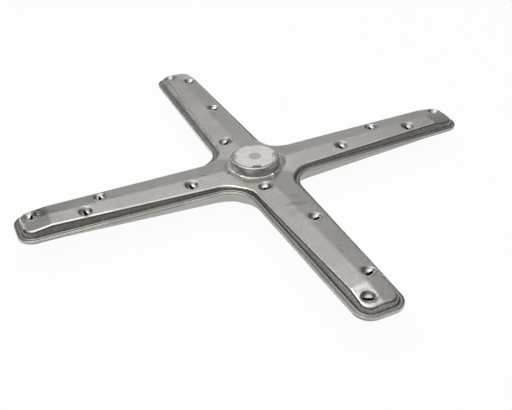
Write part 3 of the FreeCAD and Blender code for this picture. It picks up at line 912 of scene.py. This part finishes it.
def makeCap(values, material, recessMaterial, holeShadeMaterial):
    # Moulded screw cap: bevelled notched face, shallow recess and a gate mark.
    around, face, bevel, gate = (values[key] for key in ("around", "face", "bevel", "gate"))
    recess, floor = values["recessRadius"], face - values["recessDepth"]
    # Radius and height, from the gate's mark over the recess's lip to the flat face.
    inner = ((0.15, floor + 0.10), (gate, floor + 0.08), (gate + 0.25, floor),
             (recess - 0.55, floor), (recess - 0.25, floor + 0.06), (recess, face - 0.25),
             (recess + 0.20, face - 0.06), (recess + 0.50, face), (10.0, face + 0.01),
             (14.0, face))
    # Inset from the notched edge and rise from the face: over the bevel and down the rim.
    outer = ((-3.0, 0.0), (-bevel - 0.25, 0.0), (-bevel, -0.02), (-0.5 * bevel, -0.12),
             (-0.15 * bevel, -0.32), (0.0, -0.60), (0.0, -1.6), (0.0, -2.9), (-1.6, -3.0))
    points = lathe(inner, around)
    for inset, rise in outer:
        for index in range(around):
            angle = 2 * math.pi * index / around
            radius = capEdge(values, angle) + inset
            points.append(turnedPoint(radius, 0.0, face + rise, angle))
    points += lathe([(radius, face - drop) for radius, drop in values["skirt"]], around)
    faces = [quad[::-1] for quad in ringFaces(len(points) // around, around, closed=True)]
    pocketStart = len(faces)
    for pocket in range(len(values["pockets"])):
        addPocket(values, pocket, points, faces)
    eachPocket = (len(faces) - pocketStart) // len(values["pockets"])
    piece = addPiece("hub_cap_moulded", points, faces, material)
    piece.data.materials.append(recessMaterial)
    piece.data.materials.append(holeShadeMaterial)
    for polygon in piece.data.polygons:
        # painted shade: the notch floors take the darker or the black material
        if polygon.index >= pocketStart:
            pocket = (polygon.index - pocketStart) // eachPocket
            polygon.material_index = values["pockets"][pocket][1]
        else:
            polygon.material_index = 1 if polygon.index < values["recessRuns"] * around else 0
    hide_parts("hub_cap")
    print("cap made")


makeBowls(bowls, shells, pressedSteel, holeShade)
makeHem(hem, shells, litHemSteel, shadedLedgeSteel, seamShade)
makeWeld(weld, weldSteel)
makeBoss(boss, bossSteel)
makeCap(cap, capPlastic, recessPlastic, holeShade)


studio = {
    "floorSize": 6.0,
    "floorDrop": 0.0002,     # keeps the floor clear of the foot
    "floorColour": (0.86, 0.86, 0.86),
    "floorGlow": 0.95,       # share of the floor that is plain white when seen or mirrored
    # How bright the room is by the height of a direction, and by its turn in degrees from +X.
    "heights": ((0.0, 0.80), (0.14, 0.72), (0.32, 0.34), (0.42, 0.34), (0.58, 0.66), (0.72, 0.72),
                (0.80, 1.10), (0.86, 2.0), (0.93, 0.62), (1.0, 0.50)),
    "turns": ((-180, 0.45), (-112, 0.45), (-88, 0.32), (-20, 0.34), (10, 0.30), (33, 0.30),
              (40, 0.54), (44, 0.68), (50, 0.68), (54.5, 0.96), (66, 0.90), (74, 1.10),
              (80, 0.76), (86, 0.44), (92, 0.15), (107, 0.12), (112, 2.90), (120, 2.90),
              (125, 0.16), (152, 0.18), (180, 0.45)),
    "top": (0.76, 0.92),     # heights over which the turn stops mattering
    "key": {"place": (-0.28, 0.06, 1.70), "size": (1.2, 1.2), "power": 7.0},
}


def makeFloor(values):
    half = values["floorSize"] / 2
    corners = [(-half, -half, 0), (half, -half, 0), (half, half, 0), (-half, half, 0)]
    mesh = bpy.data.meshes.new("studioFloor")
    mesh.from_pydata(corners, [], [(0, 1, 2, 3)])
    floor = bpy.data.objects.new("studioFloor", mesh)
    bpy.context.scene.collection.objects.link(floor)
    floor.location.z = -values["floorDrop"]
    material, tree, shader = newMaterial("studioFloor")
    shader.inputs["Base Color"].default_value = (*values["floorColour"], 1.0)
    shader.inputs["Roughness"].default_value = 0.9
    shader.inputs["Specular IOR Level"].default_value = 0.0
    path = addNode(tree, "ShaderNodeLightPath").outputs
    mirrored = calculate(tree, "MAXIMUM", path["Is Glossy Ray"], path["Is Transmission Ray"])
    seen = calculate(tree, "MAXIMUM", path["Is Camera Ray"], mirrored)
    glow = addNode(tree, "ShaderNodeEmission", inputs={"Color": (1, 1, 1, 1), "Strength": 1.0})
    mix = addNode(tree, "ShaderNodeMixShader", inputs={
        0: calculate(tree, "MULTIPLY", seen, values["floorGlow"]), 1: shader.outputs[0],
        2: glow.outputs[0]})
    link(tree, mix.outputs[0], tree.nodes["Material Output"].inputs["Surface"])
    giveMaterial(floor, material)


def worldRamp(tree, value, stops, fade):
    node = addNode(tree, "ShaderNodeValToRGB", inputs={"Fac": value})
    ramp = node.color_ramp
    ramp.interpolation = fade
    while len(ramp.elements) < len(stops):
        ramp.elements.new(1.0)
    for element, (place, strength) in zip(ramp.elements, stops):
        element.position = place
        element.color = (strength, strength, strength, 1.0)
    return node.outputs["Color"]


def makeWorld(values):
    # A soft room: brightest overhead and behind the object, with a narrow strip at its back left.
    world = bpy.data.worlds.new("studioWorld")
    bpy.context.scene.world = world
    world.use_nodes = True
    tree = world.node_tree
    direction = addNode(tree, "ShaderNodeTexCoord").outputs["Generated"]
    x, y, z = addNode(tree, "ShaderNodeSeparateXYZ", inputs={"Vector": direction}).outputs
    turn = calculate(tree, "ARCTAN2", y, x)
    around = remap(tree, turn, -math.pi, math.pi, fade="LINEAR")
    stops = [((angle + 180.0) / 360.0, strength) for angle, strength in values["turns"]]
    share = worldRamp(tree, around, stops, "EASE")
    shade = calculate(tree, "MAXIMUM", share, remap(tree, z, *values["top"]))
    background = tree.nodes["Background"]
    link(tree, worldRamp(tree, z, values["heights"], "LINEAR"), background.inputs["Color"])
    link(tree, shade, background.inputs["Strength"])


def makeLights(values):
    key = values["key"]
    light = bpy.data.lights.new("softbox", "AREA")
    light.shape = "RECTANGLE"
    light.size, light.size_y = key["size"]
    light.energy = key["power"]
    lamp = bpy.data.objects.new("softbox", light)
    lamp.location = key["place"]
    lamp.rotation_euler = (-Vector(key["place"])).to_track_quat("-Z", "Y").to_euler()
    bpy.context.scene.collection.objects.link(lamp)


makeFloor(studio)
makeWorld(studio)
makeLights(studio)
print("studio made")
